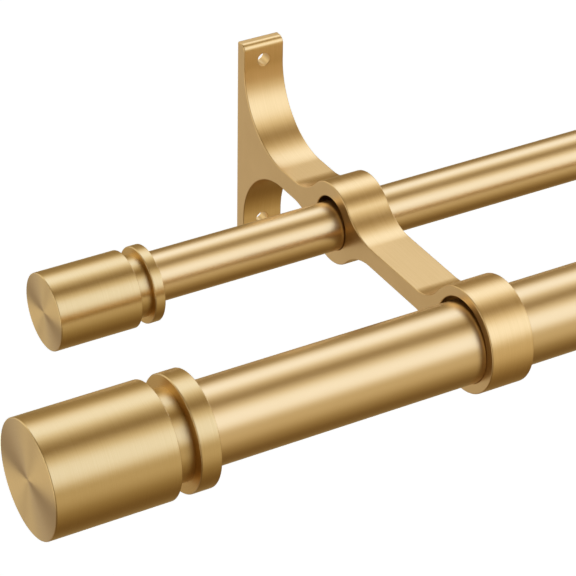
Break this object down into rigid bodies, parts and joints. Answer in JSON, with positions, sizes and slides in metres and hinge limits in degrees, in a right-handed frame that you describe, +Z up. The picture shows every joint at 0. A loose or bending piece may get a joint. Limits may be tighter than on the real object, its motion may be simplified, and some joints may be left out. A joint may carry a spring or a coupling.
{
  "type": "double curtain pole",
  "caption": "Double curtain pole: a thick front rod and a thin rear rod on wall brackets with closed rings, each rod ending in plain turned cap finials.",
  "frame": {"origin": "on the wall plane, in the middle of the four wall screw holes, level with the middle of the bracket arms", "axes": "+X along the poles, -Y out of the wall into the room, +Z up"},
  "size_m": [0.8128, 0.1541, 0.0728],
  "materials": {
    "drawn_pole": "satin gold plating with a soft lengthwise sheen",
    "turned_finial": "satin gold plating, finely turned round the axis",
    "satin_bracket": "satin gold plating",
    "screw_steel": "dark oiled steel"
  },
  "bodies": {
    "root": {"front_pole": "drawn_pole", "rear_pole": "drawn_pole", "left_bracket": "satin_bracket", "front_left_finial": "turned_finial", "rear_left_finial": "turned_finial", "front_left_finial_screw": "screw_steel", "rear_left_finial_screw": "screw_steel", "front_left_ring_screw": "screw_steel", "rear_left_ring_screw": "screw_steel", "right_bracket": "satin_bracket", "front_right_finial": "turned_finial", "rear_right_finial": "turned_finial", "front_right_finial_screw": "screw_steel", "rear_right_finial_screw": "screw_steel", "front_right_ring_screw": "screw_steel", "rear_right_ring_screw": "screw_steel"}
  },
  "joints": []
}
